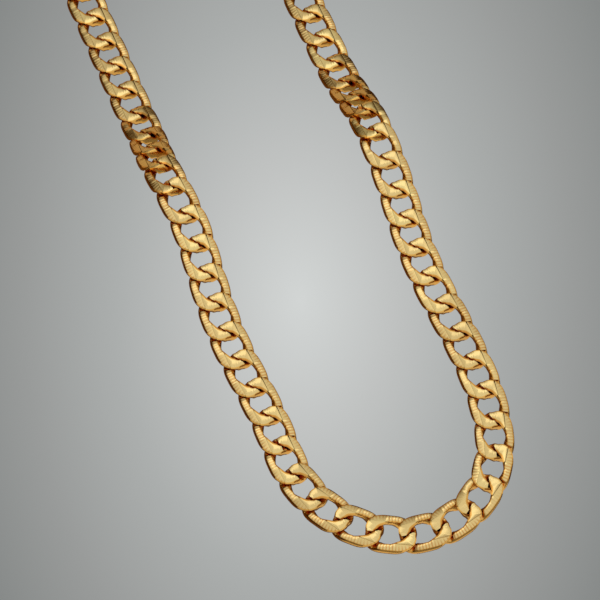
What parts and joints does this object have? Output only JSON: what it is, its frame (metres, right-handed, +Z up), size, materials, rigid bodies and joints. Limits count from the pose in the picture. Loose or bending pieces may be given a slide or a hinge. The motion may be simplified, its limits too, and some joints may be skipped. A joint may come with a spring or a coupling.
{
  "type": "cuban link chain necklace",
  "caption": "Flattened gold curb link chain hanging in a long loop from the back of the neck, with filed faces and ribbed sloping edges.",
  "frame": {"origin": "on the underside of the clasp, at the middle of the back of the loop, where the chain hangs on what holds it", "axes": "+Z up, the front of the chain facing -Y, +X across the loop to the right as seen from the front"},
  "size_m": [0.0636, 0.1708, 0.1836],
  "materials": {
    "gold": "polished"
  },
  "bodies": {
    "root": {"front_links": "gold", "back_links": "gold", "clasp": "gold"}
  },
  "joints": []
}
